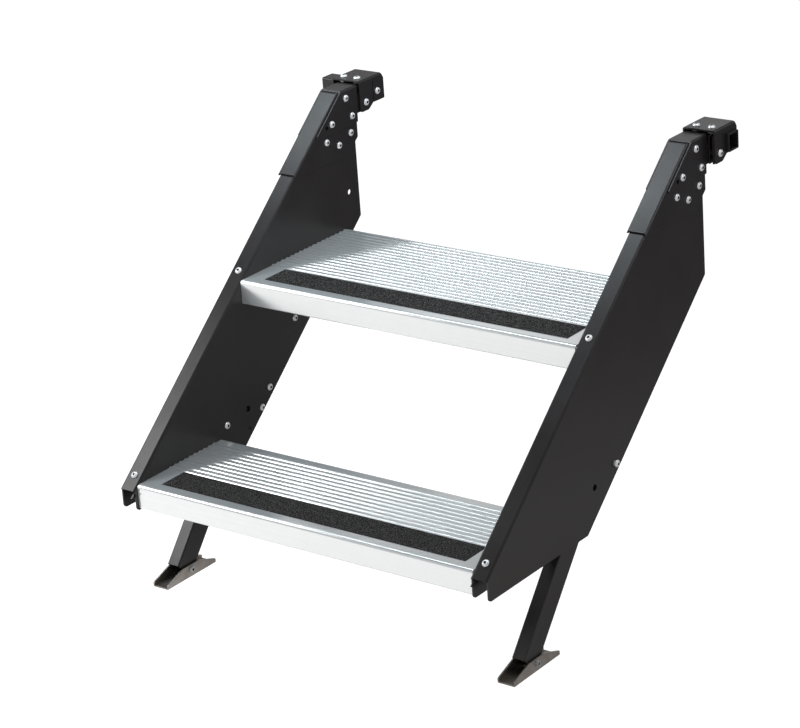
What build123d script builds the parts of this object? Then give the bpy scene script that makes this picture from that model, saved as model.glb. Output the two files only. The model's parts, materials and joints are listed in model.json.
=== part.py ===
from build123d import *
import math
import os

# Caravan entry step with two treads, hung from two brackets at the door frame and
# standing on two adjustable legs. Millimetres, X along the treads, noses towards -Y,
# Z up. Side views are written as (y, z): y from the front of the lower nose, z from
# the ground. The finished step is moved so that the origin lies midway between the
# two bracket tubes. Heights named from the lower tread start at its flat top.

# Treads
tread_length = 610
tread_side_gap = 0.5
lower_tread_top = 191.5
tread_rise = 233.5
lower_nose_lead = 2
upper_nose_lead = 4.3
lower_tread_depth = 196
upper_tread_depth = 268
fascia_height = 37.5
fascia_thickness = 2.6
fascia_lip = 12
nose_radius = 5.5
deck_thickness = 3
rear_lip_height = 30
rear_lip_foot = 10
rib_pitch = 11.3
rib_width = 6.4
rib_height = 1.7
lower_first_rib = 75.5
lower_plain_band = 13
upper_first_rib = 79.3
upper_plain_band = 4
port_radius = 5
port_bore_radius = 2.6
port_slot = 2.5
port_sink = 1
front_port_setback = 26
rear_port_setback = 18

# Anti-slip tape
tape_margin = 29
tape_width = 50
tape_thickness = 0.9
tape_setback = 20.3
tape_shift = 3

# Folded sheet steel
sheet = 2.5
bend_radius = 3.2
inner_bend_radius = 0.5
nest_gap = 0.25

# Stringers
stringer_width = 28
stringer_pitch_deg = 40.3
web_end_drop = 8
flange_drop = 40.5
flange_front = -4
flange_step = 3
toe_radius = 6
rear_hole = (-24, 57.5)
rear_hole_radius = 4.5

# Hangers over the sleeves, drops measured from the hanger's level top
hanger_top_height = 460
hanger_top_length = 34.6
hanger_flange_drop = 59.5
hanger_setback = 6
hanger_top_gap = 0.4
spare_hole = (-75, -49)
spare_hole_radius = 3.6

# Sleeves over the top of the stringers, drops measured from the hanger's top
sleeve_web_drop = 102
sleeve_flange_drop = 105.5
sleeve_overhang = 4
sleeve_corner_run = 27
sleeve_corner_rise = 21
sleeve_corner_radius = 3

# Pivot between hangers and brackets
pivot_run = 23.5
pivot_drop = 32.5
pivot_gap = 0.5
ear_radius = 13.2
plate_gap = 2.5

# Brackets at the door frame
lobe_radius = 14
bracket_step_up = 2
lobe_run = 21
lobe_end = 33
lobe_corner = 4
lobe_curve = 10
arm_rim = 1.85
arm_corner = 2
rear_corner_run = 5.5
rear_corner_drop = 9
slit_width = 1.8
slit_setback = 10.2
slit_below_top = 8
spacer_width = 8.8
spacer_wall = 2
spacer_depth = 21
spacer_below_plate = 6.5
spacer_fit = 0.2
sill_screw_inner = -7.6
sill_screw_outer = 18.4

# Square tubes held in the brackets
tube_size = 28
tube_wall = 2.5
tube_corner = 2.5
tube_fit = 0.15
tube_ear_gap = 3.3
tube_cover = 12.5
tube_rear_rim = 4
tube_end_plate = 5
right_tube_proud = 5
left_tube_proud = 45

# Button head screws, nuts and sleeve nuts
screw_radius = 3.15
head_radius = 5.6
head_height = 3.4
head_rim = 0.9
head_crown = 2.6
socket_flats = 4
socket_depth = 2
nut_flats = 11.1
nut_height = 5
thread_fit = 0.05
hole_fit = 0.15
running_fit = 0.08
barrel_radius = 4.2
barrel_length = 8

# Screws on the hanger and sleeve faces: back from the stringer's rear edge (negative
# is forward) and up from the hanger's top (negative is down)
hanger_screw_places = [(-24, -14), (-10.5, -46), (-62.5, -46)]
sleeve_screw_places = [(-14, -73), (-75.5, -72.5), (-45, -85.3)]
web_screw_height = 9

# Brackets inside the stringers that carry the tread ends
carrier_thickness = 3
carrier_above = 5
carrier_below = 19
carrier_tab_rise = 20
carrier_tab_drop = 6
carrier_rear_margin = 6
carrier_fit = 0.05
tread_screw_bite = 16

# Legs: places along the leg are counted up from where it leaves the stringer
leg_pitch_deg = 50.3
leg_exit_inset = 27.8
leg_tread_gap = 4.1
leg_depth = 37.2
leg_side_gap = 0.4
leg_wall = 2
leg_corner = 2
leg_inside = 260
leg_end = 5.2
leg_behind_pin = 9.1
lock_hole_radius = 5
lock_hole_along = 83
lock_hole_behind = -3.4
lock_hole_pitch = 25
lock_hole_count = 4
pilot_hole_along = 58
pilot_hole_clear = 8.3
pilot_hole_radius = 2.2

# Leg guides and bushes inside the stringers
slide_gap = 0.3
guide_depth = 27.5
guide_wall = 2.2
guide_start = 45
guide_length = 218
guide_edge_gap = 2
guide_side_gap = 0.2
guide_screw_line = 18.7
guide_screw_inset = (52, 15)
guide_bolt_along = 131
collar_radius = 4.6
collar_thickness = 2.6
bush_along = 43
bush_radius = 10

# Feet
foot_pin_height = 12.5
foot_length = 112
foot_side_gap = 1.5
foot_sheet = 2.4
foot_end_height = 7.5
foot_arch_height = 20.3
foot_arch_start = 37
foot_corner = 2
foot_arch_corner = 12
foot_bend = 2.6

# Values that follow from the driving dimensions
pitch = math.radians(stringer_pitch_deg)
leg_pitch = math.radians(leg_pitch_deg)
upper_tread_top = lower_tread_top + tread_rise
tape_length = tread_length - 2 * tape_margin
stringer_half = stringer_width / 2
channel_half = stringer_half - sheet
sleeve_half = stringer_half + nest_gap + sheet
hanger_half = sleeve_half + nest_gap + sheet
bracket_inner = hanger_half + pivot_gap
bracket_outer = bracket_inner + spacer_width
side_x = tread_length / 2 + tread_side_gap + stringer_half
hanger_top = lower_tread_top + hanger_top_height
stringer_top = hanger_top - sheet - hanger_top_gap
stringer_rear = lower_nose_lead + hanger_top_height / math.tan(pitch) + hanger_top_length
sleeve_rear = stringer_rear + sleeve_overhang
pivot = (stringer_rear + pivot_run, hanger_top - pivot_drop)
bracket_top = hanger_top + bracket_step_up + sheet
bracket_front = pivot[0] - lobe_radius
tube_y = pivot[0] + ear_radius + tube_ear_gap + tube_size / 2
tube_z = bracket_top - tube_cover - tube_size / 2
tube_centre = (tube_y, tube_z)
arm_low = tube_z - tube_size / 2 - tube_fit - arm_rim
bracket_rear = tube_y + tube_size / 2 + tube_rear_rim
web_end = lower_tread_top - web_end_drop
flange_end = lower_tread_top - flange_drop
leg_exit = (flange_end - foot_pin_height) / math.sin(leg_pitch)
leg_length = leg_exit + leg_inside
leg_width = 2 * (channel_half - leg_side_gap)
leg_middle = leg_behind_pin - leg_depth / 2
leg_front = leg_behind_pin - leg_depth
foot_width = leg_width + 2 * (foot_side_gap + foot_sheet)
carrier_rear = lower_tread_depth - carrier_rear_margin
carrier_rise = lower_tread_top - carrier_below - foot_pin_height
leg_front_y = carrier_rear + leg_tread_gap / math.sin(leg_pitch) - carrier_rise / math.tan(leg_pitch)
foot_pin_y = leg_front_y - leg_front / math.sin(leg_pitch)
foot_pin = (foot_pin_y, foot_pin_height)
rear_corner_y = foot_pin_y + leg_exit * math.cos(leg_pitch) + leg_exit_inset
guide_front = leg_behind_pin + slide_gap
guide_line = guide_front + guide_screw_line
guide_screw_alongs = (
    leg_exit + guide_start + guide_screw_inset[0],
    leg_exit + guide_start + guide_length - guide_screw_inset[1],
)
guide_bolt = leg_exit + guide_bolt_along
first_lock_hole = leg_exit + lock_hole_along
carrier_seat = sheet + inner_bend_radius + carrier_fit
port_drop = deck_thickness + port_radius - port_sink
barrel_hole = barrel_radius + hole_fit
screw_hole = screw_radius + hole_fit
beyond = 60


def web_y(z, inward=0.0):
    """Depth of the stringer's sloping front face at a height, moved inward if asked."""
    run = (z - lower_tread_top) / math.tan(pitch)
    return lower_nose_lead + run + inward / math.sin(pitch)


stringer_depth = (rear_corner_y - web_y(flange_end)) * math.sin(pitch)


def leg_point(along, behind):
    """Side view point measured from the foot pin up the leg and square to it."""
    y = foot_pin_y + along * math.cos(leg_pitch) + behind * math.sin(leg_pitch)
    z = foot_pin_height + along * math.sin(leg_pitch) - behind * math.cos(leg_pitch)
    return (y, z)


def from_top(place):
    """Side view point from a place given at the stringer's rear edge and hanger's top."""
    return (stringer_rear + place[0], hanger_top + place[1])


def prism(outline, x_from, x_to):
    """Solid across the width from a side outline, either points or a face."""
    if isinstance(outline, list):
        outline = make_face(Polyline(*outline, close=True))
    return extrude(Plane.YZ.offset(x_from) * outline, amount=x_to - x_from)


def rounded(points, radii):
    """Side outline with one fillet radius for each corner."""
    return make_face(FilletPolyline(*points, radius=radii, close=True))


def box_face(y_from, y_to, z_from, z_to):
    """Upright rectangle in the side view."""
    return Pos((y_from + y_to) / 2, (z_from + z_to) / 2) * Rectangle(y_to - y_from, z_to - z_from)


def rod(point, radius, x_from, x_to):
    """Round bar across the width at a side view point."""
    return prism(Pos(*point) * Circle(radius), x_from, x_to)


def long_edges(shape, direction):
    """Straight edges of a shape that run along a direction."""
    chosen = Vector(*direction).normalized()
    straight = [edge for edge in shape.edges() if edge.geom_type == GeomType.LINE]
    return [edge for edge in straight if abs((edge % 0.5).dot(chosen)) > 0.999]


def folded_channel(outline, half_width, web_low, inward):
    """Sheet folded to a sloping web and two flanges, cut to the given side outline."""
    inside = half_width - sheet
    deep = stringer_depth + beyond
    outer = [(-half_width, 0), (half_width, 0), (half_width, deep), (-half_width, deep)]
    inner = [(-inside, sheet), (inside, sheet), (inside, deep), (-inside, deep)]
    section = rounded(outer, [bend_radius, bend_radius, 0, 0])
    section -= rounded(inner, [inner_bend_radius, inner_bend_radius, 0, 0])
    start = Plane(
        origin=(0, web_y(-beyond, inward), -beyond),
        x_dir=(1, 0, 0),
        z_dir=(0, math.cos(pitch), math.sin(pitch)),
    )
    length = (hanger_top + 3 * beyond) / math.sin(pitch)
    channel = extrude(start * section, amount=length)
    channel &= prism(outline, -half_width, half_width)
    below = box_face(-beyond, stringer_rear + beyond, -beyond, web_low)
    return channel - prism(below, -inside, inside)


def plane_on_web(top):
    """Plane on the web's outer face at a tread's screw, facing out."""
    z = top + web_screw_height
    return Plane(origin=(0, web_y(z), z), x_dir=(1, 0, 0), z_dir=(0, -math.sin(pitch), math.cos(pitch)))


def tread_places():
    """Nose depth, top height and deck depth of the two treads."""
    upper_nose = web_y(upper_tread_top) - upper_nose_lead
    return [(0, lower_tread_top, lower_tread_depth), (upper_nose, upper_tread_top, upper_tread_depth)]


def rear_hole_point():
    """Side view centre of the open hole in the inner flange, above the upper tread."""
    return (stringer_rear + rear_hole[0], upper_tread_top + rear_hole[1])


def port_points(nose, top, depth):
    """Side view centres of a tread's screw ports."""
    z = top - port_drop
    return [(nose + front_port_setback, z), (nose + depth - rear_port_setback, z)]


def inner_flange_points():
    """Places of every screw that passes the stringer's inner flange alone."""
    points = [leg_point(along, guide_line) for along in guide_screw_alongs]
    points.append(bush_point())
    for nose, top, depth in tread_places():
        points += port_points(nose, top, depth)
    return points


def bush_point():
    """Side view centre of the bush that guides the leg's front."""
    return leg_point(leg_exit + bush_along, leg_front - slide_gap - bush_radius)


def stringer():
    """Deep channel of folded sheet, open behind, with its holes."""
    corner_z = flange_end + math.tan(pitch) * (stringer_rear - rear_corner_y)
    points = [
        (web_y(web_end), web_end),
        (flange_front, web_end - flange_step),
        (flange_front, flange_end),
        (rear_corner_y, flange_end),
        (stringer_rear, corner_z),
        (stringer_rear, stringer_top),
        (web_y(stringer_top), stringer_top),
    ]
    outline = rounded(points, [0, 1, toe_radius, 2, 2, 0, 0])
    body = folded_channel(outline, stringer_half, web_end, 0)
    for place in hanger_screw_places + sleeve_screw_places:
        body -= rod(from_top(place), screw_hole, -stringer_half, stringer_half)
    bolt = leg_point(guide_bolt, guide_line)
    body -= rod(bolt, barrel_hole, 0, stringer_half)
    body -= rod(bolt, screw_hole, -stringer_half, 0)
    lock = leg_point(first_lock_hole, lock_hole_behind)
    body -= rod(lock, lock_hole_radius, -stringer_half, stringer_half)
    pilot = leg_point(leg_exit + pilot_hole_along, leg_behind_pin + pilot_hole_clear)
    body -= rod(pilot, pilot_hole_radius, -stringer_half, 0)
    body -= rod(rear_hole_point(), rear_hole_radius, -stringer_half, 0)
    for point in inner_flange_points():
        body -= rod(point, screw_hole, -stringer_half, 0)
    for nose, top, depth in tread_places():
        body -= plane_on_web(top) * Cylinder(screw_hole, 2 * sheet + 1)
    return body


def sleeve():
    """Shorter channel folded over the top of the stringer."""
    inward = -(sheet + nest_gap)
    web_low = hanger_top - sleeve_web_drop
    low = hanger_top - sleeve_flange_drop
    points = [
        (web_y(web_low, inward), web_low),
        (web_y(low), low),
        (sleeve_rear - sleeve_corner_run, low),
        (sleeve_rear, low + sleeve_corner_rise),
        (sleeve_rear, stringer_top),
        (web_y(stringer_top, inward), stringer_top),
    ]
    outline = rounded(points, [0, 1, sleeve_corner_radius, sleeve_corner_radius, 0, 0])
    body = folded_channel(outline, sleeve_half, web_low, inward)
    for place in hanger_screw_places + sleeve_screw_places:
        body -= rod(from_top(place), screw_hole, -sleeve_half, sleeve_half)
    return body


def folded_saddle(outline, x_inner, x_outer, top):
    """Sheet folded to a level top and two flanges of the given side outline."""
    block = prism(outline, x_inner, x_outer)
    hollow = prism(box_face(0, stringer_rear + 2 * beyond, 0, top - sheet),
                   x_inner + sheet, x_outer - sheet)
    saddle = block - hollow
    across = long_edges(saddle, (0, 1, 0))
    saddle = fillet([edge for edge in across if abs((edge @ 0.5).Z - top) < 0.01], bend_radius)
    across = long_edges(saddle, (0, 1, 0))
    under = [edge for edge in across if abs((edge @ 0.5).Z - top + sheet) < 0.01]
    middle = (x_inner + x_outer) / 2
    reach = (x_outer - x_inner) / 2 - sheet + 0.01
    return fillet([edge for edge in under if abs((edge @ 0.5).X - middle) < reach], inner_bend_radius)


def hanger():
    """Saddle over the sleeve with rounded ears that reach back to the pivot."""
    low = hanger_top - hanger_flange_drop
    face = -(2 * nest_gap + sheet)
    plate_end = bracket_front - plate_gap
    points = [
        (web_y(low, face) + hanger_setback, low),
        (sleeve_rear, low),
        (sleeve_rear, pivot[1] - ear_radius),
        (plate_end, pivot[1] - ear_radius),
        (plate_end, hanger_top),
        (web_y(hanger_top, face) + hanger_setback, hanger_top),
    ]
    outline = rounded(points, [2, 2, 0, 0, 0, 0])
    outline += box_face(plate_end - 1, pivot[0], pivot[1] - ear_radius, pivot[1] + ear_radius)
    outline += Pos(*pivot) * Circle(ear_radius)
    body = folded_saddle(outline, -hanger_half, hanger_half, hanger_top)
    for place in hanger_screw_places:
        body -= rod(from_top(place), screw_hole, -hanger_half, hanger_half)
    body -= rod(from_top(spare_hole), spare_hole_radius, -hanger_half, hanger_half)
    body -= rod(pivot, screw_radius + running_fit, -hanger_half, hanger_half)
    return body


def bracket():
    """Saddle at the door frame: a split inner flange and an outer flange for the tube."""
    low = pivot[1] - lobe_radius
    inner = -bracket_inner - sheet
    outer = bracket_outer + sheet
    points = [
        (bracket_front, low),
        (bracket_front + lobe_run, low),
        (bracket_front + lobe_end, arm_low),
        (bracket_rear, arm_low),
        (bracket_rear, bracket_top - rear_corner_drop),
        (bracket_rear - rear_corner_run, bracket_top),
        (bracket_front, bracket_top),
    ]
    outline = rounded(points, [lobe_corner, lobe_curve, 0, arm_corner, 0, 0, 0])
    body = folded_saddle(outline, inner, outer, bracket_top)
    slit_from = tube_y - slit_setback - slit_width / 2
    slit = box_face(slit_from, slit_from + slit_width, 0, bracket_top - slit_below_top)
    body -= prism(slit, inner, -bracket_inner)
    hole = tube_size + 2 * tube_fit
    body -= prism(Pos(*tube_centre) * Rectangle(hole, hole), bracket_outer, outer)
    body -= rod(tube_centre, screw_hole, inner, 0)
    body -= rod(pivot, screw_hole, inner, 0)
    body -= rod(pivot, barrel_hole, 0, outer)
    for x in (sill_screw_inner, sill_screw_outer):
        body -= Pos(x, pivot[0], bracket_top) * Cylinder(screw_hole, 2 * sheet + 1)
    return body


def spacer():
    """Upright U channel, open to the front, between hanger and outer flange."""
    low = pivot[1] - lobe_radius + spacer_fit
    high = bracket_top - sheet - spacer_below_plate
    block = prism(box_face(bracket_front, bracket_front + spacer_depth, low, high),
                  bracket_inner, bracket_outer)
    hollow = box_face(bracket_front, bracket_front + spacer_depth - spacer_wall, low, high)
    block -= prism(hollow, bracket_inner + spacer_wall, bracket_outer - spacer_wall)
    block -= rod(pivot, barrel_hole, bracket_outer - spacer_wall, bracket_outer)
    return block - rod(pivot, screw_hole, bracket_inner, bracket_inner + spacer_wall)


def frame_tube(proud):
    """Square tube from the inner flange out past the outer one, closed at its inner end."""
    end = bracket_outer + sheet + proud
    square = Pos(*tube_centre) * RectangleRounded(tube_size, tube_size, tube_corner)
    bore_size = tube_size - 2 * tube_wall
    bore = Pos(*tube_centre) * Rectangle(bore_size, bore_size)
    tube = prism(square, -bracket_inner, end)
    tube -= prism(bore, tube_end_plate - bracket_inner, end)
    return tube - rod(tube_centre, screw_radius + thread_fit, -bracket_inner, 0)


def tread_section(depth, first_rib, plain_band):
    """End view of a tread extrusion, nose at y = 0 and flat top at z = 0."""
    low = -fascia_height
    lip_z = low + fascia_thickness
    inner_y = fascia_thickness
    rear_y = depth - fascia_thickness
    foot_z = fascia_thickness - rear_lip_height
    points = [
        (0, low),
        (fascia_lip, low),
        (fascia_lip, lip_z),
        (inner_y, lip_z),
        (inner_y, -deck_thickness),
        (rear_y, -deck_thickness),
        (rear_y, foot_z),
        (rear_y - rear_lip_foot, foot_z),
        (rear_y - rear_lip_foot, -rear_lip_height),
        (depth, -rear_lip_height),
        (depth, 0),
        (0, 0),
    ]
    radii = [1.5, 0.6, 0.6, 1, 3, 1.5, 1, 0.6, 0.6, 1.5, 1.5, nose_radius]
    section = rounded(points, radii)
    rib_count = 1 + int((depth - plain_band - rib_width / 2 - first_rib) / rib_pitch)
    for index in range(rib_count):
        section += rib_section(first_rib + index * rib_pitch)
    for y, z in port_points(0, 0, depth):
        section += port_section(y, z)
    return section


def rib_section(y):
    """One rounded rib standing on the deck."""
    half = rib_width / 2
    root = -deck_thickness / 2
    crown = ThreePointArc((y - half, 0), (y, rib_height), (y + half, 0))
    base = Polyline((y + half, 0), (y + half, root), (y - half, root), (y - half, 0))
    return make_face(crown + base)


def port_section(y, z):
    """Open screw port hanging under the deck."""
    ring = Circle(port_radius) - Circle(port_bore_radius)
    slot = Pos(0, -port_radius) * Rectangle(port_slot, 2 * port_radius)
    return Pos(y, z) * (ring - slot)


def tread(nose, top, depth, first_rib, plain_band):
    """A tread cut from its extrusion and set at its step."""
    section = Pos(nose, top) * tread_section(depth, first_rib, plain_band)
    return prism(section, -tread_length / 2, tread_length / 2)


def grip_tape(nose, top):
    """Strip of anti-slip tape behind a nose."""
    front = nose + tape_setback
    strip = box_face(front, front + tape_width, top, top + tape_thickness)
    return prism(strip, tape_shift - tape_length / 2, tape_shift + tape_length / 2)


def tread_carrier(nose, top, depth):
    """Bent plate inside the stringer: a strip at the tread's end and a tab at the web."""
    rear = nose + depth - carrier_rear_margin
    low = top - carrier_below
    high = top + carrier_above
    tab_low = top - carrier_tab_drop
    tab_high = top + carrier_tab_rise
    web_back = carrier_seat
    tab_back = web_back + carrier_thickness
    strip = [
        (web_y(low, tab_back), low),
        (rear, low),
        (rear, high),
        (web_y(high, web_back), high),
        (web_y(tab_low, web_back), tab_low),
        (web_y(tab_low, tab_back), tab_low),
    ]
    tab = [
        (web_y(tab_low, web_back), tab_low),
        (web_y(tab_high, web_back), tab_high),
        (web_y(tab_high, tab_back), tab_high),
        (web_y(tab_low, tab_back), tab_low),
    ]
    plate = prism(strip, -channel_half, carrier_thickness - channel_half)
    plate += prism(tab, -channel_half, channel_half - 1)
    for point in port_points(nose, top, depth):
        plate -= rod(point, screw_hole, -channel_half, 0)
    return plate - plane_on_web(top) * Cylinder(screw_hole, beyond / 2)


def leg():
    """Rectangular tube with rounded cheeks at the foot pin and adjusting holes above."""
    outline = [
        leg_point(leg_length, leg_front),
        leg_point(-leg_end, leg_front),
        leg_point(-leg_behind_pin, 0),
        leg_point(0, 0),
        leg_point(0, leg_behind_pin),
        leg_point(leg_length, leg_behind_pin),
    ]
    block = prism(outline, -leg_width / 2, leg_width / 2)
    block = fillet(long_edges(block, (0, math.cos(leg_pitch), math.sin(leg_pitch))), leg_corner)
    block += rod(foot_pin, leg_behind_pin, -leg_width / 2, leg_width / 2)
    turned = Pos(*leg_point(leg_length / 2, leg_middle)) * Rot(0, 0, leg_pitch_deg)
    bore = turned * Rectangle(leg_length + beyond, leg_depth - 2 * leg_wall)
    block -= prism(bore, leg_wall - leg_width / 2, leg_width / 2 - leg_wall)
    for index in range(lock_hole_count):
        along = first_lock_hole + index * lock_hole_pitch
        block -= rod(leg_point(along, lock_hole_behind), lock_hole_radius, -leg_width, leg_width)
    pin_hole = screw_radius + running_fit
    return block - rod(foot_pin, pin_hole, -leg_width, leg_width)


def leg_guide():
    """Tube behind the leg that its rear face runs on, trimmed along the stringer's rear."""
    half = channel_half - guide_side_gap
    middle = leg_point(leg_exit + guide_start + guide_length / 2, guide_front + guide_depth / 2)
    turned = Pos(*middle) * Rot(0, 0, leg_pitch_deg)
    guide = prism(turned * Rectangle(guide_length, guide_depth), -half, half)
    hollow = turned * Rectangle(guide_length + 2, guide_depth - 2 * guide_wall)
    guide -= prism(hollow, guide_wall - half, half - guide_wall)
    edge = stringer_depth - guide_edge_gap
    behind = [
        (web_y(0, edge), 0),
        (web_y(hanger_top, edge), hanger_top),
        (web_y(hanger_top, edge) + hanger_top, hanger_top),
        (web_y(0, edge) + hanger_top, 0),
    ]
    guide -= prism(behind, -half, half)
    for along in guide_screw_alongs:
        guide -= rod(leg_point(along, guide_line), screw_hole, -half, 0)
    guide -= rod(leg_point(guide_bolt, guide_line), screw_hole, -half, 0)
    return guide - rod(leg_point(guide_bolt, guide_line), barrel_hole, 0, half)


def leg_bush():
    """Round bush in front of the leg."""
    half = channel_half - guide_side_gap
    bush = rod(bush_point(), bush_radius, -half, half)
    return bush - rod(bush_point(), screw_radius + thread_fit, -half, half)


def foot():
    """Shallow U channel with arched flanges, centred on its pin."""
    front = foot_pin_y - foot_length / 2
    rear = foot_pin_y + foot_length / 2
    points = [
        (front, 0),
        (rear, 0),
        (rear, foot_end_height),
        (rear - foot_arch_start, foot_arch_height),
        (front + foot_arch_start, foot_arch_height),
        (front, foot_end_height),
    ]
    arch = foot_arch_corner
    outline = rounded(points, [0.6, 0.6, foot_corner, arch, arch, foot_corner])
    half = foot_width / 2
    inside = half - foot_sheet
    high = foot_arch_height + 1
    outer = [(-half, 0), (half, 0), (half, high), (-half, high)]
    inner = [(-inside, foot_sheet), (inside, foot_sheet), (inside, high), (-inside, high)]
    section = rounded(outer, [foot_bend, foot_bend, 0, 0])
    section -= rounded(inner, [inner_bend_radius, inner_bend_radius, 0, 0])
    shoe = extrude(Plane.XZ.offset(-rear - 1) * section, amount=foot_length + 2)
    shoe &= prism(outline, -half, half)
    return shoe - rod(foot_pin, barrel_hole, 0, half) - rod(foot_pin, screw_hole, -half, 0)


def button_head():
    """Low domed head with a hexagon socket, seated on z = 0."""
    profile = make_face(Polyline(
        (0, 0), (head_radius, 0), (head_radius, head_rim), (head_crown, head_height),
        (0, head_height), close=True,
    ))
    head = revolve(Plane.XZ * profile, Axis.Z)
    flats = socket_flats / 2
    socket = RegularPolygon(flats, 6, major_radius=False)
    return head - Pos(0, 0, head_height - socket_depth) * extrude(socket, amount=socket_depth)


def screw(length):
    """Button head screw along -Z from its head."""
    return button_head() + Pos(0, 0, -length / 2) * Cylinder(screw_radius, length)


def sleeve_nut():
    """Button head on a barrel that takes a screw from the other side."""
    barrel = Pos(0, 0, -barrel_length / 2) * Cylinder(barrel_radius, barrel_length)
    bore = Pos(0, 0, -barrel_length / 2) * Cylinder(screw_radius + thread_fit, barrel_length)
    return button_head() + barrel - bore


def nut():
    """Hexagon nut from z = 0 downward."""
    blank = extrude(RegularPolygon(nut_flats / 2, 6, major_radius=False), amount=-nut_height)
    return blank - Pos(0, 0, -nut_height / 2) * Cylinder(screw_radius + thread_fit, nut_height)


def facing(shape, point, x, outward):
    """Place a fastener at a side view point with its head towards +X or -X."""
    return Plane(origin=(x, point[0], point[1]), z_dir=(outward, 0, 0)) * shape


def face_screws(places, half_width, stack):
    """Screws on both faces of one side, and their nuts inside the stringer."""
    length = stack + nut_height + 1
    screws = []
    nuts = []
    for place in places:
        for outward in (-1, 1):
            seat = outward * half_width
            screws.append(facing(screw(length), from_top(place), seat, outward))
            nuts.append(facing(nut(), from_top(place), outward * channel_half, outward))
    return screws, nuts


def both_sides(shapes):
    """Shapes modelled about x = 0, placed at the right stringer and mirrored left."""
    right = [Pos(side_x, 0, 0) * shape for shape in shapes]
    return right, [mirror(shape, about=Plane.YZ) for shape in right]


nodes = {}


def add(name, shapes):
    """Keep a node, moved so that the origin lies midway between the bracket tubes."""
    place = Pos(0, -tube_centre[0], -tube_centre[1])
    solids = [solid for shape in shapes for solid in (place * shape).solids()]
    nodes[name] = solids[0] if len(solids) == 1 else Compound(children=solids)


def add_pair(name, shapes):
    """Keep one node for the right side and one for the left."""
    right, left = both_sides(shapes)
    add(name + "_right", right)
    add(name + "_left", left)


def add_group(name, shapes):
    """Keep one node that holds identical fasteners of both sides."""
    right, left = both_sides(shapes)
    add(name, right + left)


def build_treads():
    ribs = [(lower_first_rib, lower_plain_band), (upper_first_rib, upper_plain_band)]
    for level, place, rib in zip(("lower", "upper"), tread_places(), ribs):
        nose, top, depth = place
        add("tread_" + level, [tread(nose, top, depth, *rib)])
        add("grip_tape_" + level, [grip_tape(nose, top)])
        add_pair("tread_carrier_" + level, [tread_carrier(nose, top, depth)])


def build_frame():
    add_pair("stringer", [stringer()])
    add_pair("sleeve", [sleeve()])
    add_pair("hanger", [hanger()])


def build_brackets():
    add_pair("bracket", [bracket()])
    add_pair("bracket_spacer", [spacer()])
    right, _ = both_sides([frame_tube(right_tube_proud)])
    _, left = both_sides([frame_tube(left_tube_proud)])
    add("frame_tube_right", right)
    add("frame_tube_left", left)


def build_frame_fasteners():
    faces = sheet + nest_gap
    screws, nuts = face_screws(hanger_screw_places, hanger_half, 2 * faces + sheet)
    add_group("hanger_screws", screws)
    add_group("hanger_nuts", nuts)
    screws, nuts = face_screws(sleeve_screw_places, sleeve_half, faces + sheet)
    add_group("sleeve_screws", screws)
    add_group("sleeve_nuts", nuts)
    behind_web = carrier_seat + carrier_thickness
    planes = [plane_on_web(top) for _, top, _ in tread_places()]
    add_group("web_screws", [plane * screw(behind_web + nut_height + 1) for plane in planes])
    add_group("web_nuts", [plane * Pos(0, 0, -behind_web) * nut() for plane in planes])
    screws = []
    seat = carrier_thickness - channel_half
    for nose, top, depth in tread_places():
        for point in port_points(nose, top, depth):
            screws.append(facing(tread_screw(), point, seat, 1))
    add_group("tread_screws", screws)


def tread_screw():
    """Screw that cuts its own thread in a tread's screw port."""
    through = carrier_thickness + sheet + tread_side_gap
    length = through + tread_screw_bite
    return button_head() + Pos(0, 0, -length / 2) * Cylinder(port_bore_radius - thread_fit, length)


def build_pivots():
    inner = -bracket_inner - sheet
    outer = bracket_outer + sheet
    length = outer - inner - 2
    add_group("pivot_bolts", [facing(screw(length), pivot, inner, -1)])
    add_group("pivot_sleeve_nuts", [facing(sleeve_nut(), pivot, outer, 1)])
    clamp_length = sheet + tube_end_plate
    add_group("tube_clamp_screws", [facing(screw(clamp_length), tube_centre, inner, -1)])
    xs = (sill_screw_inner, sill_screw_outer)
    below = bracket_top - sheet
    sill_length = sheet + nut_height + 0.5
    add_group("sill_screws", [Pos(x, pivot[0], bracket_top) * screw(sill_length) for x in xs])
    add_group("sill_nuts", [Pos(x, pivot[0], below) * nut() for x in xs])


def build_legs():
    add_pair("leg", [leg()])
    add_pair("foot", [foot()])
    half = foot_width / 2
    add_pair("foot_pin", [facing(screw(foot_width - 2), foot_pin, -half, -1)])
    add_pair("foot_pin_nut", [facing(foot_sleeve_nut(), foot_pin, half, 1)])


def foot_sleeve_nut():
    """Sleeve nut short enough to stay outside the leg's cheek."""
    reach = foot_sheet
    barrel = Pos(0, 0, -reach / 2) * Cylinder(barrel_radius, reach)
    bore = Pos(0, 0, -reach / 2) * Cylinder(screw_radius + thread_fit, reach)
    return button_head() + barrel - bore


def build_guides():
    add_pair("leg_guide", [leg_guide()])
    add_pair("leg_bush", [leg_bush()])
    half = stringer_half
    wall = sheet + guide_side_gap + guide_wall
    points = [leg_point(along, guide_line) for along in guide_screw_alongs]
    add_group("guide_screws", [facing(screw(wall + nut_height + 1), p, -half, -1) for p in points])
    inside = wall - half
    add_group("guide_nuts", [facing(nut(), p, inside, -1) for p in points])
    add_group("bush_screws", [facing(screw(wall + 2 * nut_height), bush_point(), -half, -1)])
    bolt = leg_point(guide_bolt, guide_line)
    collar = rod(bolt, collar_radius, half, half + collar_thickness)
    collar -= rod(bolt, barrel_hole, half, half + collar_thickness)
    add_group("guide_bolts", [facing(screw(stringer_width), bolt, -half, -1)])
    add_group("guide_collars", [collar])
    add_group("guide_sleeve_nuts", [facing(sleeve_nut(), bolt, half + collar_thickness, 1)])


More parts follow.
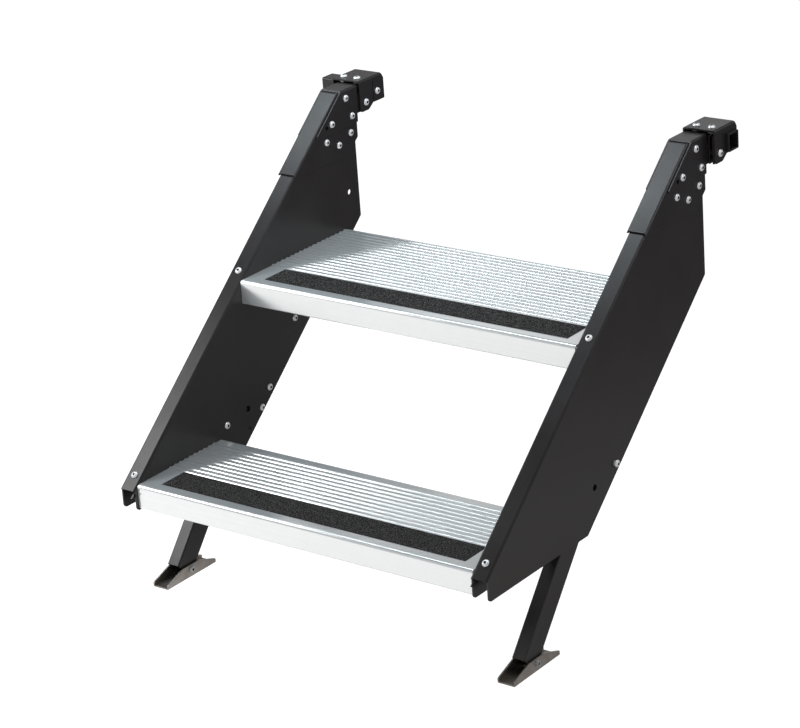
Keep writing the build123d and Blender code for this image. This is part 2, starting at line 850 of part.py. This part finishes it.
def main():
    os.makedirs("parts", exist_ok=True)
    build_treads()
    build_frame()
    build_brackets()
    build_frame_fasteners()
    build_pivots()
    build_legs()
    build_guides()
    for name, shape in nodes.items():
        export_step(shape, f"parts/{name}.step")
    print(len(nodes), "nodes")


main()
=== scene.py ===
import json
import math

import bmesh
import bpy
import numpy as np
from mathutils import Matrix, Vector

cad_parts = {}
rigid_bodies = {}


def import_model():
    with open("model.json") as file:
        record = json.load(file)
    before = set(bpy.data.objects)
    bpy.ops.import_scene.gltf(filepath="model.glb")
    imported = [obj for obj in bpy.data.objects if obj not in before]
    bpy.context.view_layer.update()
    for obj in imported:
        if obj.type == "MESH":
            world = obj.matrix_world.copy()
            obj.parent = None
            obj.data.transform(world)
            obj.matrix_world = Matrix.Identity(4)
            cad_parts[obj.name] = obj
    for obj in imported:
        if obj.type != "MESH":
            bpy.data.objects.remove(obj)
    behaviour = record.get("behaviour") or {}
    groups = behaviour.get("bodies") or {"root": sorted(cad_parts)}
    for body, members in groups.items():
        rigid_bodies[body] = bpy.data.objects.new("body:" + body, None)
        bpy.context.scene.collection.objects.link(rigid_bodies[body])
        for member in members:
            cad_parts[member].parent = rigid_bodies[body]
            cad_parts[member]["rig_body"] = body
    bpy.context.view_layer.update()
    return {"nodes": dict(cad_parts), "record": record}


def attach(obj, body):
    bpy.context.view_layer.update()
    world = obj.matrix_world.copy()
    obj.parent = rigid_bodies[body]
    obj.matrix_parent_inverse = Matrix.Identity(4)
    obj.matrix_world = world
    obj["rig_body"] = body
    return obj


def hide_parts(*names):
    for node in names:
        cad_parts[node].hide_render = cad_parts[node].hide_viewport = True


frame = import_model()

# Row frame in metres: X along the treads, Z up, origin midway between the bracket tubes.
SOLE_Z = -0.6295
GROUND_Z = -0.83
PLANE_REACH = 14
SLOPE = math.radians(40.3)
WEB_OUT = Vector((0, -math.sin(SLOPE), math.cos(SLOPE)))
ALONG_X = Vector((1, 0, 0))
UPWARD = Vector((0, 0, 1))

HEAD_RADIUS = 0.0056
HEAD_HEIGHT = 0.0034
HEAD_RIM = 0.0007
HEAD_CHAMFER = 0.0003
HEAD_FLATNESS = 0.985
HEAD_SIDES = 36
DOME_STEPS = 6
SOCKET_FLATS = 0.004
SOCKET_DEPTH = 0.002
SOCKET_SINK = 0.0001
SOCKET_LAND = 0.66
SHANK_RADIUS = 0.00315
TREAD_SHANK_RADIUS = 0.0026
SHANK_SIDES = 16
THREAD_PITCH = 0.00127
THREAD_DEPTH = 0.0003
ROWS_PER_TURN = 4
BARREL_RADIUS = 0.0042
BARREL_SIDES = 28
BORE_RADIUS = 0.0032
NUT_FLATS = 0.0111
NUT_CHAMFER = 0.0005
NUT_CHAMFER_REACH = 0.93
NUT_SIDES = 36
END_ZONE = 0.0029
WELD_DISTANCE = 1e-6
SCREW_TURN_START = 0.3
SCREW_TURN_STEP = 0.7
NUT_TURN_START = 0.2
NUT_TURN_STEP = 0.5
# Colour layer of painted shade on the fasteners: the sockets get it fully, nuts and foot pins in
# part.
PAINTED_SHADE_LAYER = "socket"
# Shares of painted shade on the foot pins and the nuts, blended as near black into their zinc.
FOOT_PAINTED_SHADE = 0.5
NUT_PAINTED_SHADE = 0.6

EVEN = (1, 1, 1)
WHITE = (1.0, 1.0, 1.0)
BLACK = (0.0, 0.0, 0.0)


# Shader helpers

def new_material(name):
    material = bpy.data.materials.new(name)
    material.use_nodes = True
    tree = material.node_tree
    tree.nodes.clear()
    output = tree.nodes.new("ShaderNodeOutputMaterial")
    shader = tree.nodes.new("ShaderNodeBsdfPrincipled")
    tree.links.new(shader.outputs["BSDF"], output.inputs["Surface"])
    return material, tree, shader


def set_surface(tree, socket):
    output = next(node for node in tree.nodes if node.type == "OUTPUT_MATERIAL")
    tree.links.new(socket, output.inputs["Surface"])


def coordinates(tree, scale):
    """Object coordinates stretched by a scale for each axis."""
    source = tree.nodes.new("ShaderNodeTexCoord")
    mapping = tree.nodes.new("ShaderNodeMapping")
    mapping.inputs["Scale"].default_value = scale
    tree.links.new(source.outputs["Object"], mapping.inputs["Vector"])
    return mapping.outputs["Vector"]


def noise(tree, scale, size, detail=3.0, roughness=0.5):
    texture = tree.nodes.new("ShaderNodeTexNoise")
    texture.inputs["Scale"].default_value = size
    texture.inputs["Detail"].default_value = detail
    texture.inputs["Roughness"].default_value = roughness
    tree.links.new(coordinates(tree, scale), texture.inputs["Vector"])
    return texture.outputs["Fac"]


def spread(tree, value, low, high, start=0.3, end=0.7):
    """A value's range from start to end taken to the range from low to high, and held there."""
    ranged = tree.nodes.new("ShaderNodeMapRange")
    ranged.inputs["From Min"].default_value = start
    ranged.inputs["From Max"].default_value = end
    ranged.inputs["To Min"].default_value = low
    ranged.inputs["To Max"].default_value = high
    tree.links.new(value, ranged.inputs["Value"])
    return ranged.outputs["Result"]


def ramp(tree, value, stops):
    colours = tree.nodes.new("ShaderNodeValToRGB")
    elements = colours.color_ramp.elements
    while len(elements) < len(stops):
        elements.new(0.5)
    for element, (place, colour) in zip(elements, stops):
        element.position = place
        element.color = (*colour, 1)
    tree.links.new(value, colours.inputs["Fac"])
    return colours.outputs["Color"]


def combine(tree, operation, first, second):
    node = tree.nodes.new("ShaderNodeMath")
    node.operation = operation
    tree.links.new(first, node.inputs[0])
    tree.links.new(second, node.inputs[1])
    return node.outputs["Value"]


def measure(tree, operation, vector, reference):
    """Dot product or distance of a vector to a fixed one."""
    node = tree.nodes.new("ShaderNodeVectorMath")
    node.operation = operation
    tree.links.new(vector, node.inputs[0])
    node.inputs[1].default_value = reference
    return node.outputs["Value"]


def blend(tree, share, colour, other):
    """A texture's colour mixed with a fixed one; the colour sockets of Mix share their names."""
    mix = tree.nodes.new("ShaderNodeMix")
    mix.data_type = "RGBA"
    tree.links.new(share, mix.inputs["Factor"])
    tree.links.new(colour, mix.inputs[6])
    mix.inputs[7].default_value = (*other, 1)
    return mix.outputs[2]


def mix_shaders(tree, share, first, second):
    mix = tree.nodes.new("ShaderNodeMixShader")
    tree.links.new(share, mix.inputs["Fac"])
    tree.links.new(first, mix.inputs[1])
    tree.links.new(second, mix.inputs[2])
    return mix.outputs["Shader"]


def bumps(tree, shader, layers, edge=0.0):
    """Stack bump layers, each a height, a strength and a distance, over a rounded edge."""
    previous = None
    if edge:
        bevel = tree.nodes.new("ShaderNodeBevel")
        bevel.samples = 6
        bevel.inputs["Radius"].default_value = edge
        previous = bevel.outputs["Normal"]
    for height, strength, distance in layers:
        bump = tree.nodes.new("ShaderNodeBump")
        bump.inputs["Strength"].default_value = strength
        bump.inputs["Distance"].default_value = distance
        tree.links.new(height, bump.inputs["Height"])
        if previous:
            tree.links.new(previous, bump.inputs["Normal"])
        previous = bump.outputs["Normal"]
    tree.links.new(previous, shader.inputs["Normal"])
    return previous


def add_haze(tree, shader, normal, colour, share):
    """Mix a soft even sheen into a shader, as a dulled metal surface has."""
    haze = tree.nodes.new("ShaderNodeBsdfDiffuse")
    tree.links.new(colour, haze.inputs["Color"])
    tree.links.new(normal, haze.inputs["Normal"])
    set_surface(tree, mix_shaders(tree, share, shader.outputs["BSDF"], haze.outputs["BSDF"]))


# Materials

def powder_coat():
    material, tree, shader = new_material("black_powder_coat")
    grain = noise(tree, EVEN, 900, 2)
    cloud = noise(tree, EVEN, 14, 3)
    stops = [(0.3, (0.0096, 0.008, 0.0084)), (0.7, (0.0138, 0.0118, 0.0122))]
    tree.links.new(ramp(tree, cloud, stops), shader.inputs["Base Color"])
    tree.links.new(spread(tree, cloud, 0.29, 0.35), shader.inputs["Roughness"])
    shader.inputs["Specular IOR Level"].default_value = 0.45
    bumps(tree, shader, [(grain, 0.5, 0.00008)], edge=0.0006)
    return material


def extruded_aluminium():
    """Metal with fine lines along X and a haze; a weaker haze denoises into blotches."""
    material, tree, shader = new_material("tread_aluminium")
    streaks = noise(tree, (3, 900, 900), 1, 3)
    cloud = noise(tree, EVEN, 18, 4)
    stops = [(0.35, (0.84, 0.835, 0.82)), (0.65, (0.87, 0.865, 0.85))]
    tree.links.new(ramp(tree, cloud, stops), shader.inputs["Base Color"])
    shader.inputs["Metallic"].default_value = 1.0
    shader.inputs["Anisotropic"].default_value = 0.7
    shader.inputs["Anisotropic Rotation"].default_value = 0.25
    along = tree.nodes.new("ShaderNodeCombineXYZ")
    along.inputs["X"].default_value = 1.0
    tree.links.new(along.outputs["Vector"], shader.inputs["Tangent"])
    worn = spread(tree, cloud, 0.14, 0.18)
    lined = spread(tree, streaks, 0.0, 0.04)
    tree.links.new(combine(tree, "ADD", worn, lined), shader.inputs["Roughness"])
    normal = bumps(tree, shader, [(streaks, 0.03, 0.0001)], edge=0.0004)
    dull_and_shade = ramp(tree, streaks, [(0.3, (0.67, 0.73, 0.755)), (0.7, (0.73, 0.78, 0.8))])
    add_haze(tree, shader, normal, dull_and_shade, spread(tree, cloud, 0.3, 0.32))
    return material


def grit_tape():
    material, tree, shader = new_material("grit_tape")
    grain = noise(tree, EVEN, 950, 1, 0.6)
    stops = [(0.38, (0.001, 0.001, 0.001)), (0.5, (0.01, 0.0095, 0.0098)),
             (0.6, (0.05, 0.048, 0.0475)), (0.72, (0.2, 0.195, 0.19))]
    tree.links.new(ramp(tree, grain, stops), shader.inputs["Base Color"])
    shader.inputs["Roughness"].default_value = 0.8
    shader.inputs["Specular IOR Level"].default_value = 0.12
    bumps(tree, shader, [(grain, 0.15, 0.0004)])
    return material


def zinc_plate():
    """Bright zinc with painted shade from the fasteners' colour layer: near black in the sockets,
    partly darker on nuts and foot pins.
    """
    material, tree, shader = new_material("zinc_plate")
    cloud = noise(tree, EVEN, 160, 2)
    stops = [(0.3, (0.78, 0.79, 0.81)), (0.7, (0.88, 0.89, 0.9))]
    # painted shade: the colour layer blends the zinc towards near black
    dark = tree.nodes.new("ShaderNodeAttribute")
    dark.attribute_name = PAINTED_SHADE_LAYER
    zinc = ramp(tree, cloud, stops)
    colour = blend(tree, dark.outputs["Fac"], zinc, (0.02, 0.02, 0.022))
    tree.links.new(colour, shader.inputs["Base Color"])
    shader.inputs["Metallic"].default_value = 1.0
    tree.links.new(spread(tree, cloud, 0.24, 0.3), shader.inputs["Roughness"])
    normal = bumps(tree, shader, [(cloud, 0.04, 0.0001)])
    add_haze(tree, shader, normal, colour, spread(tree, cloud, 0.45, 0.55))
    return material


def bare_steel():
    material, tree, shader = new_material("bare_steel")
    streaks = noise(tree, (300, 20, 300), 1, 3)
    cloud = noise(tree, EVEN, 60, 4)
    stops = [(0.3, (0.3, 0.268, 0.242)), (0.7, (0.4, 0.37, 0.34))]
    tree.links.new(ramp(tree, cloud, stops), shader.inputs["Base Color"])
    shader.inputs["Metallic"].default_value = 1.0
    tree.links.new(spread(tree, streaks, 0.36, 0.5), shader.inputs["Roughness"])
    bumps(tree, shader, [(streaks, 0.1, 0.0001)], edge=0.0004)
    return material


def nylon():
    material, tree, shader = new_material("nylon")
    cloud = noise(tree, EVEN, 90, 3)
    stops = [(0.3, (0.66, 0.65, 0.6)), (0.7, (0.76, 0.75, 0.71))]
    tree.links.new(ramp(tree, cloud, stops), shader.inputs["Base Color"])
    tree.links.new(spread(tree, cloud, 0.35, 0.45), shader.inputs["Roughness"])
    bumps(tree, shader, [(cloud, 0.1, 0.0001)])
    return material


materials = {
    "black_powder_coat": powder_coat(),
    "tread_aluminium": extruded_aluminium(),
    "grit_tape": grit_tape(),
    "zinc_plate": zinc_plate(),
    "bare_steel": bare_steel(),
    "nylon": nylon(),
}
slots = {part["node"]: part["material_slot"] for part in frame["record"]["subparts"]}
for name, node in frame["nodes"].items():
    node.data.materials.clear()
    node.data.materials.append(materials[slots[name]])


# Finer fasteners, one for each solid of a fastener node

def islands(node):
    """The points of each separate solid of a CAD node."""
    mesh = bmesh.new()
    mesh.from_mesh(frame["nodes"][node].data)
    bmesh.ops.remove_doubles(mesh, verts=mesh.verts, dist=WELD_DISTANCE)
    left = set(mesh.verts)
    found = []
    while left:
        stack = [left.pop()]
        members = []
        while stack:
            vertex = stack.pop()
            members.append(vertex.co.copy())
            for edge in vertex.link_edges:
                other = edge.other_vert(vertex)
                if other in left:
                    left.remove(other)
                    stack.append(other)
        found.append(np.array(members))
    mesh.free()
    return sorted(found, key=lambda points: tuple(points.mean(0).round(4)))


def placement(points, axis):
    """End, direction and length of a fastener whose wider end is its head."""
    axis = np.array(axis)
    along = points @ axis
    across = points - np.outer(along, axis)
    centre = (across.min(0) + across.max(0)) / 2
    radius = np.linalg.norm(across - centre, axis=1)
    low, high = along.min(), along.max()
    high_end = radius[along > high - END_ZONE].max()
    low_end = radius[along < low + END_ZONE].max()
    sign, end = (1, high) if high_end > low_end else (-1, low)
    return Vector(centre + axis * end), Vector(axis * sign), high - low


def facing_matrix(point, direction):
    """Matrix that puts +Z along a direction, with a steady turn about it."""
    direction = direction.normalized()
    side = UPWARD.cross(direction)
    if side.length < 0.1:
        side = ALONG_X.copy()
    side.normalize()
    other = direction.cross(side)
    matrix = Matrix((side, other, direction)).transposed().to_4x4()
    matrix.translation = point
    return matrix


def turned_seat(end, direction, turn):
    """Matrix at the underside of a head, turned about its axis."""
    seat = end - direction * HEAD_HEIGHT
    return facing_matrix(seat, direction) @ Matrix.Rotation(turn, 4, "Z")


def place_new(mesh, start, matrix):
    """Move the points made since start to their place."""
    mesh.verts.ensure_lookup_table()
    for vertex in mesh.verts[start:]:
        vertex.co = matrix @ vertex.co


def outline(mesh, count, z, reach):
    """Closed row of points, with reach giving the radius at each angle."""
    row = []
    for i in range(count):
        angle = 2 * math.pi * i / count
        radius = reach(angle)
        row.append(mesh.verts.new((radius * math.cos(angle), radius * math.sin(angle), z)))
    return row


def ring(mesh, radius, z, count):
    return outline(mesh, count, z, lambda angle: radius)


def hexagon_reach(angle, flats):
    sector = (angle % (math.pi / 3)) - math.pi / 6
    return flats / 2 / math.cos(sector)


def bridge(mesh, lower, upper, smooth=True, socket=False):
    """Band of faces between two rings; the socket's faces are marked for painted shade."""
    count = len(lower)
    for i in range(count):
        j = (i + 1) % count
        face = mesh.faces.new((lower[i], lower[j], upper[j], upper[i]))
        face.smooth = smooth
        face.material_index = int(socket)


def dome(mesh, matrix):
    """Button head above z = 0 with a hexagon socket."""
    start = len(mesh.verts)
    rings = [
        ring(mesh, HEAD_RADIUS - HEAD_CHAMFER, 0, HEAD_SIDES),
        ring(mesh, HEAD_RADIUS, HEAD_CHAMFER, HEAD_SIDES),
        ring(mesh, HEAD_RADIUS, HEAD_RIM, HEAD_SIDES),
    ]
    inner = SOCKET_FLATS * SOCKET_LAND
    top = math.sqrt(1 - (inner / HEAD_RADIUS) ** 2 * HEAD_FLATNESS)
    for i in range(1, DOME_STEPS + 1):
        radius = HEAD_RADIUS + (inner - HEAD_RADIUS) * (i / DOME_STEPS)
        curve = math.sqrt(max(0.0, 1 - (radius / HEAD_RADIUS) ** 2 * HEAD_FLATNESS))
        height = HEAD_RIM + (HEAD_HEIGHT - HEAD_RIM) * min(1.0, curve / top)
        rings.append(ring(mesh, radius, height, HEAD_SIDES))
    for z in (HEAD_HEIGHT - SOCKET_SINK, HEAD_HEIGHT - SOCKET_DEPTH):
        rings.append(outline(mesh, HEAD_SIDES, z, lambda angle: hexagon_reach(angle, SOCKET_FLATS)))
    socket_wall = len(rings) - 2
    for i, (lower, upper) in enumerate(zip(rings, rings[1:])):
        bridge(mesh, lower, upper, i < socket_wall - 1, i == socket_wall)
    # the socket's floor is marked for painted shade as well
    mesh.faces.new(rings[-1]).material_index = 1
    mesh.faces.new(list(reversed(rings[0])))
    place_new(mesh, start, matrix)


def threaded_shank(mesh, matrix, radius, length):
    """Shank with a fine helical thread from z = 0 down."""
    start = len(mesh.verts)
    rows = max(2, int(length / (THREAD_PITCH / ROWS_PER_TURN)))
    previous = None
    for i in range(rows + 1):
        z = -length * i / rows
        row = []
        for j in range(SHANK_SIDES):
            angle = 2 * math.pi * j / SHANK_SIDES
            phase = (z / THREAD_PITCH + j / SHANK_SIDES) % 1.0
            reach = radius - THREAD_DEPTH * abs(2 * phase - 1)
            row.append(mesh.verts.new((reach * math.cos(angle), reach * math.sin(angle), z)))
        if previous:
            bridge(mesh, row, previous)
        else:
            mesh.faces.new(row)
        previous = row
    mesh.faces.new(list(reversed(previous)))
    place_new(mesh, start, matrix)


def barrel(mesh, matrix, length):
    """Plain tube from z = 0 down."""
    start = len(mesh.verts)
    corners = ((BORE_RADIUS, 0.0), (BARREL_RADIUS, 0.0),
               (BARREL_RADIUS, -length), (BORE_RADIUS, -length))
    rings = [ring(mesh, radius, z, BARREL_SIDES) for radius, z in corners]
    for lower, upper in zip(rings, rings[1:] + rings[:1]):
        bridge(mesh, upper, lower)
    place_new(mesh, start, matrix)


def hexagon_nut(mesh, matrix, length):
    """Hexagon nut with chamfered corners, from z = 0 down."""
    start = len(mesh.verts)
    corner = NUT_FLATS / math.sqrt(3)
    profile = (
        (0, NUT_CHAMFER_REACH), (-NUT_CHAMFER, 1.0),
        (NUT_CHAMFER - length, 1.0), (-length, NUT_CHAMFER_REACH),
    )
    rows = [
        outline(mesh, NUT_SIDES, z,
                lambda angle: min(hexagon_reach(angle, NUT_FLATS), corner * reach))
        for z, reach in profile
    ]
    rows += [ring(mesh, BORE_RADIUS, -length, NUT_SIDES), ring(mesh, BORE_RADIUS, 0, NUT_SIDES)]
    for lower, upper in zip(rows, rows[1:] + rows[:1]):
        bridge(mesh, upper, lower, smooth=False)
    place_new(mesh, start, matrix)


def finish_piece(mesh, node, dull_and_shade):
    """Turn a mesh into the piece that replaces a CAD node; the sockets get full painted shade, and
    all other faces get the share given by the last argument.
    """
    name = "fine_" + node
    bmesh.ops.recalc_face_normals(mesh, faces=mesh.faces)
    data = bpy.data.meshes.new(name)
    shade = mesh.loops.layers.float_color.new(PAINTED_SHADE_LAYER)
    for face in mesh.faces:
        for loop in face.loops:
            shade_amount = 1.0 if face.material_index else dull_and_shade
            loop[shade] = (shade_amount, shade_amount, shade_amount, 1)
        face.material_index = 0
    mesh.to_mesh(data)
    mesh.free()
    data.materials.append(materials["zinc_plate"])
    piece = bpy.data.objects.new(name, data)
    bpy.context.scene.collection.objects.link(piece)
    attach(piece, frame["nodes"][node]["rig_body"])
    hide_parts(node)


# the last argument is the share of painted shade on all faces but the sockets
def fine_screws(node, axis, shank_radius=SHANK_RADIUS, dull_and_shade=0.0):
    mesh = bmesh.new()
    for index, points in enumerate(islands(node)):
        end, direction, length = placement(points, axis)
        seat = turned_seat(end, direction, SCREW_TURN_STEP * index + SCREW_TURN_START)
        dome(mesh, seat)
        threaded_shank(mesh, seat, shank_radius, length - HEAD_HEIGHT)
    finish_piece(mesh, node, dull_and_shade)


def fine_barrel_nuts(node, axis, dull_and_shade=0.0):
    mesh = bmesh.new()
    for index, points in enumerate(islands(node)):
        end, direction, length = placement(points, axis)
        seat = turned_seat(end, direction, NUT_TURN_STEP * index + NUT_TURN_START)
        dome(mesh, seat)
        barrel(mesh, seat, length - HEAD_HEIGHT)
    finish_piece(mesh, node, dull_and_shade)


def fine_nuts(node, axis):
    mesh = bmesh.new()
    for points in islands(node):
        end, direction, length = placement(points, axis)
        hexagon_nut(mesh, facing_matrix(end, direction), length)
    finish_piece(mesh, node, NUT_PAINTED_SHADE)


for name in ("hanger_screws", "sleeve_screws", "guide_screws", "guide_bolts", "bush_screws",
             "pivot_bolts", "tube_clamp_screws"):
    fine_screws(name, ALONG_X)
for name in ("foot_pin_left", "foot_pin_right"):
    fine_screws(name, ALONG_X, dull_and_shade=FOOT_PAINTED_SHADE)
fine_screws("tread_screws", ALONG_X, TREAD_SHANK_RADIUS)
fine_screws("web_screws", WEB_OUT)
fine_screws("sill_screws", UPWARD)
for name in ("pivot_sleeve_nuts", "guide_sleeve_nuts"):
    fine_barrel_nuts(name, ALONG_X)
for name in ("foot_pin_nut_left", "foot_pin_nut_right"):
    fine_barrel_nuts(name, ALONG_X, FOOT_PAINTED_SHADE)
for name in ("hanger_nuts", "sleeve_nuts", "guide_nuts"):
    fine_nuts(name, ALONG_X)
fine_nuts("web_nuts", WEB_OUT)
fine_nuts("sill_nuts", UPWARD)


# Floor, world and lights

def flat_object(name, corners):
    mesh = bpy.data.meshes.new(name)
    mesh.from_pydata(corners, [], [(0, 1, 2, 3)])
    flat = bpy.data.objects.new(name, mesh)
    flat.visible_shadow = False
    bpy.context.scene.collection.objects.link(flat)
    return flat


def level_plane(name, height):
    far = PLANE_REACH
    plane = flat_object(name, [(-far, -far, 0), (far, -far, 0), (far, far, 0), (-far, far, 0)])
    plane.location = (0, 0, height)
    return plane


def paper(name):
    """Pale paper with its own glow, which still keeps shadows."""
    material, tree, shader = new_material(name)
    near = noise(tree, EVEN, 2)
    shades = [(0.3, (0.27, 0.27, 0.27)), (0.7, (0.28, 0.28, 0.28))]
    tree.links.new(ramp(tree, near, shades), shader.inputs["Base Color"])
    shader.inputs["Roughness"].default_value = 1.0
    shader.inputs["Specular IOR Level"].default_value = 0.0
    lift = tree.nodes.new("ShaderNodeEmission")
    lift.inputs["Strength"].default_value = 0.92
    both = tree.nodes.new("ShaderNodeAddShader")
    tree.links.new(shader.outputs["BSDF"], both.inputs[0])
    tree.links.new(lift.outputs["Emission"], both.inputs[1])
    set_surface(tree, both.outputs["Shader"])
    material.cycles.emission_sampling = "NONE"
    return material, tree, both.outputs["Shader"]


def stage_ground():
    """Floor that the camera sees, below the feet's lowest place at the joints' limits."""
    ground = level_plane("ground", GROUND_Z)
    ground.visible_diffuse = False
    ground.visible_glossy = False
    ground.data.materials.append(paper("ground")[0])


def stage_floor():
    """Level of the feet at rest, which only lights the object and shows in its reflections.

    It is pale in front and darker behind, and its glow is dimmed right under the object as a
    painted shadow.
    """
    floor = level_plane("floor", SOLE_Z)
    floor.visible_camera = False
    material, tree, bright = paper("floor")
    across = measure(tree, "DOT_PRODUCT", coordinates(tree, EVEN), (0.617, 0.787, 0))
    rear = spread(tree, across, 0.0, 1.0, -2.0, 2.0)
    fade = [(0.0, (1, 1, 1)), (0.34, (1, 1, 1)), (0.42, (0.55, 0.54, 0.53)),
            (0.53, (0.48, 0.47, 0.46)), (0.62, (0.37, 0.36, 0.36)),
            (0.75, (0.21, 0.2, 0.21)), (1.0, (0.14, 0.14, 0.15))]
    # painted shadow: the glow dims towards the place under the object
    beside = measure(tree, "DISTANCE", coordinates(tree, EVEN), (0, -0.25, 0))
    faded = tree.nodes.new("ShaderNodeEmission")
    tree.links.new(ramp(tree, rear, fade), faded.inputs["Color"])
    tree.links.new(spread(tree, beside, 0.5, 1.1, 0.35, 0.62), faded.inputs["Strength"])
    in_front = spread(tree, rear, 1.0, 0.0, 0.34, 0.42)
    clear = spread(tree, beside, 0.0, 1.0, 0.4, 0.68)
    path = tree.nodes.new("ShaderNodeLightPath")
    open_floor = combine(tree, "MULTIPLY", in_front, clear)
    mirrored = combine(tree, "MULTIPLY", path.outputs["Is Glossy Ray"], open_floor)
    set_surface(tree, mix_shaders(tree, mirrored, faded.outputs["Emission"], bright))
    floor.data.materials.append(material)


def stage_dark_card():
    """Card behind the left side, seen only in the treads' reflections."""
    left, right, low, high, behind = -1.9, -0.99, -0.2, 0.385, 1
    card = flat_object("dark_card", [
        (left, behind, low), (right, behind, low), (right, behind, high), (left, behind, high)])
    card.visible_camera = False
    card.visible_diffuse = False
    material, tree, shader = new_material("dark_card")
    weave = noise(tree, EVEN, 20)
    cloth = [(0.3, (0.15, 0.16, 0.17)), (0.7, (0.18, 0.19, 0.2))]
    tree.links.new(ramp(tree, weave, cloth), shader.inputs["Base Color"])
    shader.inputs["Roughness"].default_value = 1.0
    card.data.materials.append(material)


def studio_world():
    """White to the camera; to the object a pale horizon, a dark ceiling and a grey front."""
    world = bpy.data.worlds.new("studio")
    bpy.context.scene.world = world
    world.use_nodes = True
    tree = world.node_tree
    tree.nodes.clear()
    output = tree.nodes.new("ShaderNodeOutputWorld")
    path = tree.nodes.new("ShaderNodeLightPath")
    seen = tree.nodes.new("ShaderNodeBackground")
    seen.inputs["Color"].default_value = (1, 1, 1, 1)
    studio = tree.nodes.new("ShaderNodeBackground")
    direction = tree.nodes.new("ShaderNodeTexCoord").outputs["Generated"]
    height = measure(tree, "DOT_PRODUCT", direction, (0, 0, 1))
    stops = [(0.0, BLACK), (0.47, BLACK), (0.478, WHITE), (0.69, WHITE),
             (0.76, (0.22, 0.25, 0.28)), (0.86, (0.06, 0.07, 0.08)), (1.0, (0.2, 0.2, 0.21))]
    walls = ramp(tree, spread(tree, height, 0.0, 1.0, -1.0, 1.0), stops)
    front = measure(tree, "DOT_PRODUCT", direction, (0, -1, 0))
    facing = spread(tree, front, 0.0, 1.0, 0.27, 0.42)
    tree.links.new(blend(tree, facing, walls, (0.6, 0.62, 0.63)), studio.inputs["Color"])
    studio.inputs["Strength"].default_value = 0.76
    surface = mix_shaders(tree, path.outputs["Is Camera Ray"],
                          studio.outputs["Background"], seen.outputs["Background"])
    tree.links.new(surface, output.inputs["Surface"])


def softbox(name, place, target, size, power, colour=(1, 1, 1), mirrored=True):
    light = bpy.data.lights.new(name, "AREA")
    light.shape = "RECTANGLE"
    light.size, light.size_y = size
    light.energy = power
    light.color = colour
    lamp = bpy.data.objects.new(name, light)
    lamp.location = place
    aim = Vector(target) - Vector(place)
    lamp.rotation_euler = aim.to_track_quat("-Z", "Y").to_euler()
    lamp.visible_camera = False
    lamp.visible_glossy = mirrored
    bpy.context.scene.collection.objects.link(lamp)


stage_ground()
stage_floor()
stage_dark_card()
studio_world()
softbox("overhead", (0.5, 0.3, 2.4), (0, -0.3, -0.3), (1.6, 1.6), 22)
softbox("low_left", (-1.22, -1.12, 0.42), (-0.32, -0.55, -0.45), (0.6, 0.8), 9)
softbox("cool_top", (-0.545, -0.29, 0.75), (-0.545, -0.2, 0.0), (1.05, 0.22), 5.3,
        colour=(0.84, 0.94, 1.0))
softbox("tread_fill", (-0.15, 0.12, 0.25), (-0.15, -0.22, -0.2), (0.3, 0.3), 0.7,
        colour=(0.8, 0.92, 1.0), mirrored=False)
softbox("bend_light", (1.075, -0.18, 0.71), (0.34, -0.1, 0.02), (0.2, 0.45), 2)


# Camera fitted to the photo

CAMERA_PLACE = (2.45023, -3.49232, 1.26154)
CAMERA_TURN = math.radians(38.126)
CAMERA_TILT = math.radians(21.261)
CAMERA_ROLL = math.radians(-4.140)
CAMERA_LENS = 130.367
SENSOR_WIDTH = 36


def fitted_camera():
    level = math.cos(CAMERA_TILT)
    back = Vector((math.sin(CAMERA_TURN) * level, -math.cos(CAMERA_TURN) * level,
                   math.sin(CAMERA_TILT)))
    right = Vector((math.cos(CAMERA_TURN), math.sin(CAMERA_TURN), 0))
    up = back.cross(right)
    rolled_right = math.cos(CAMERA_ROLL) * right + math.sin(CAMERA_ROLL) * up
    rolled_up = math.cos(CAMERA_ROLL) * up - math.sin(CAMERA_ROLL) * right
    matrix = Matrix((rolled_right, rolled_up, back)).transposed().to_4x4()
    matrix.translation = Vector(CAMERA_PLACE)
    data = bpy.data.cameras.new("camera")
    data.sensor_width = SENSOR_WIDTH
    data.lens = CAMERA_LENS
    data.clip_end = 100
    view = bpy.data.objects.new("camera", data)
    view.matrix_world = matrix
    bpy.context.scene.collection.objects.link(view)
    bpy.context.scene.camera = view


fitted_camera()
bpy.context.scene.view_settings.view_transform = "Standard"
